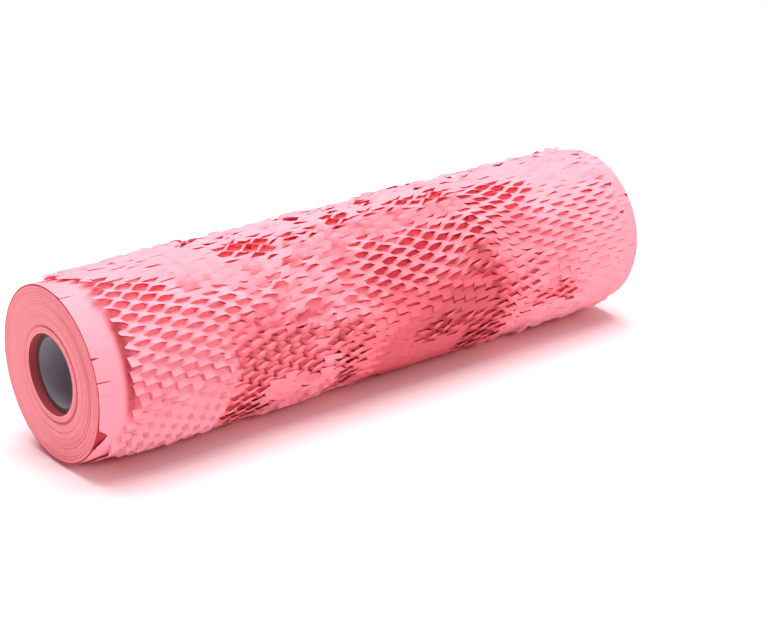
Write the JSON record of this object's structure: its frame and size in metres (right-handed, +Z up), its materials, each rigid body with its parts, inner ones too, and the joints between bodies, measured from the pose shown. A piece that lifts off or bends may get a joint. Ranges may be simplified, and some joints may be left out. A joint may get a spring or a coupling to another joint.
{
  "type": "honeycomb paper roll",
  "caption": "Roll of slit pink wrapping paper on a paperboard core, its loose outer turn pulled open into a honeycomb.",
  "frame": {"origin": "on the surface that the roll lies on, under the middle of its length and of its width", "axes": "+X along the roll's axis, away from its foremost end; +Y to the back; +Z up"},
  "size_m": [0.381, 0.1042, 0.1012],
  "materials": {
    "core_board": "grey spiral-wound paperboard, matt, with brown cut ends",
    "pink_paper": "uncoated pink kraft paper, matt"
  },
  "bodies": {
    "root": {"core_tube": "core_board", "paper_roll": "pink_paper"}
  },
  "joints": []
}
